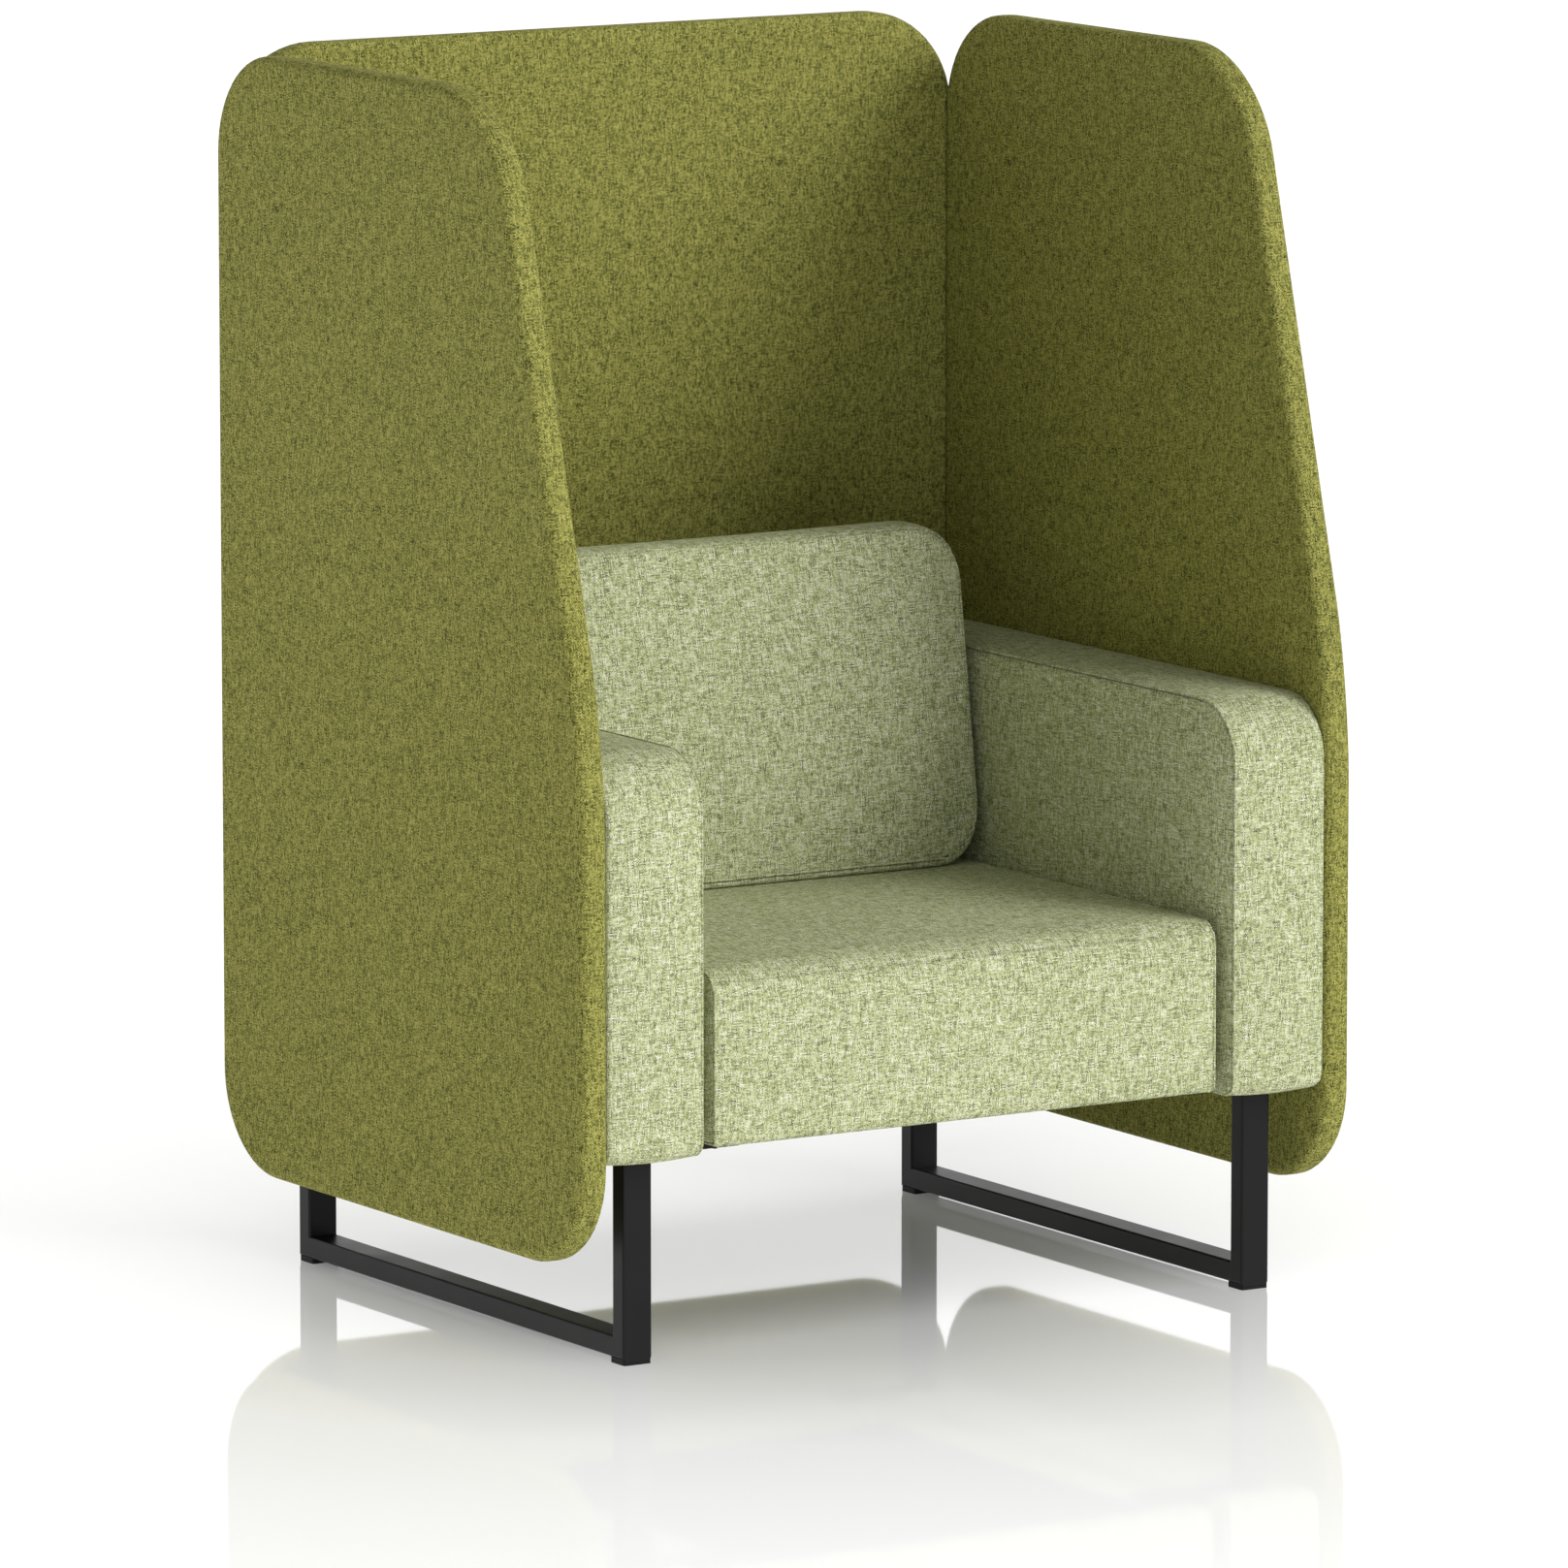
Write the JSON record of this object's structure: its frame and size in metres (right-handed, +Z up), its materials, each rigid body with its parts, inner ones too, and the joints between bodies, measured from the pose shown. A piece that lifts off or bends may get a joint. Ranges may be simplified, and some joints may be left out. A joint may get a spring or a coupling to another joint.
{
  "type": "privacy booth sofa",
  "caption": "Upholstered single-seat booth sofa: padded arms, seat and leaning back cushion inside tall rounded screens, on black steel sled legs",
  "frame": {"origin": "on the floor under the middle of the booth's bounding box", "axes": "+Z up; the open front faces -Y; +X is on the right of someone looking into the booth"},
  "size_m": [1.045, 0.866, 1.44],
  "materials": {
    "screen_fabric": "moss-green two-tone woven wool",
    "seat_fabric": "pale grey-green melange weave",
    "foam": "cut upholstery foam",
    "webbing": "woven elastic webbing",
    "dust_cloth": "black non-woven cloth",
    "plywood": "unfinished plywood",
    "beech": "planed timber",
    "black_paint": "satin black powder coat",
    "black_plastic": "moulded black plastic",
    "zinc_steel": "zinc-plated steel",
    "black_steel": "blackened steel"
  },
  "bodies": {
    "root": {"back_cushion_cover": "seat_fabric", "back_cushion_foam": "foam", "back_frame": "plywood", "back_link_bolts": "zinc_steel", "back_link_tee_nuts": "zinc_steel", "back_pad": "seat_fabric", "back_screen_board": "plywood", "back_screen_cover": "screen_fabric", "left_arm_frame": "plywood", "left_arm_pad": "seat_fabric", "left_floor_rail": "black_paint", "left_front_glide": "black_plastic", "left_front_leg": "black_paint", "left_front_leg_plate": "black_paint", "left_rear_glide": "black_plastic", "left_rear_leg": "black_paint", "left_rear_leg_plate": "black_paint", "left_screen_board": "plywood", "left_screen_cover": "screen_fabric", "left_seat_rail": "beech", "leg_plate_screws": "black_steel", "right_arm_frame": "plywood", "right_arm_pad": "seat_fabric", "right_floor_rail": "black_paint", "right_front_glide": "black_plastic", "right_front_leg": "black_paint", "right_front_leg_plate": "black_paint", "right_rear_glide": "black_plastic", "right_rear_leg": "black_paint", "right_rear_leg_plate": "black_paint", "right_screen_board": "plywood", "right_screen_cover": "screen_fabric", "right_seat_rail": "beech", "screen_bolts": "zinc_steel", "screen_tee_nuts": "zinc_steel", "seat_centre_rail": "beech", "seat_cover": "seat_fabric", "seat_dust_cover": "dust_cloth", "seat_foam": "foam", "seat_front_rail": "beech", "seat_rear_rail": "beech", "seat_webbing": "webbing"}
  },
  "joints": []
}
